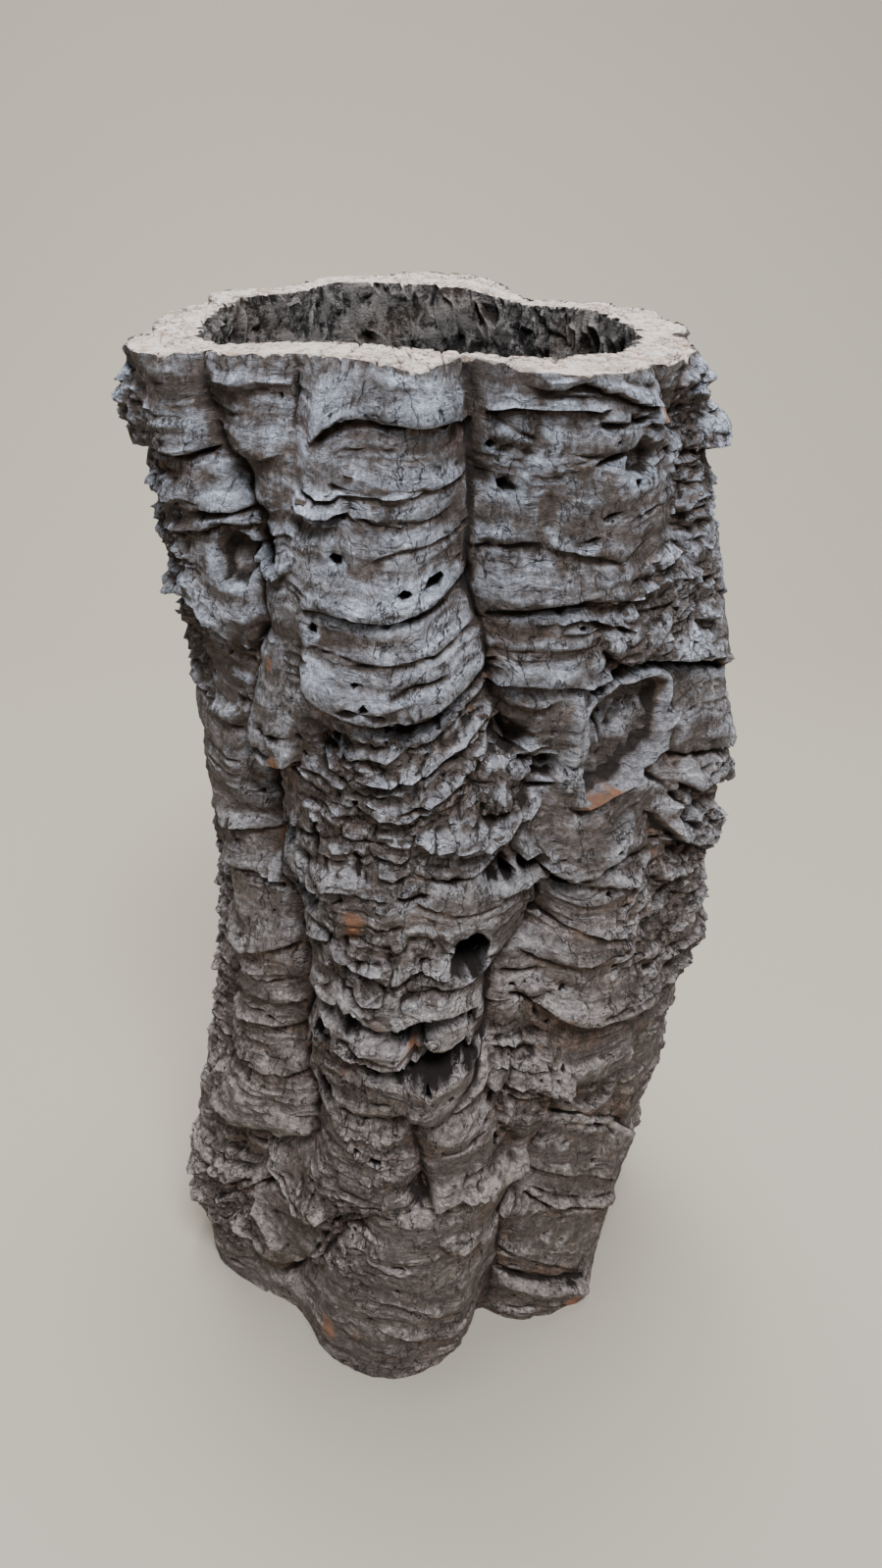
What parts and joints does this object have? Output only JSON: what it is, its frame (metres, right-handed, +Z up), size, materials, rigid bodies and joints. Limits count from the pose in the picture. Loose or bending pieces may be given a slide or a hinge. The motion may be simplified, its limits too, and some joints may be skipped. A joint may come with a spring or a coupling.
{
  "type": "cork branch",
  "caption": "Hollow upright length of rough cork bark, sawn flat at both ends, open right through as a planter, hide or perch.",
  "frame": {"origin": "middle of the branch's box, on the plane of the sawn foot that it stands on", "axes": "+Z up along the tube, -Y to the side with the knot and the long furrow, which the picture shows"},
  "size_m": [0.2816, 0.2736, 0.5005],
  "materials": {
    "weathered_cork": "rough grey-brown bark, pale cream where it is sawn"
  },
  "bodies": {
    "root": {"cork_bark": "weathered_cork"}
  },
  "joints": []
}
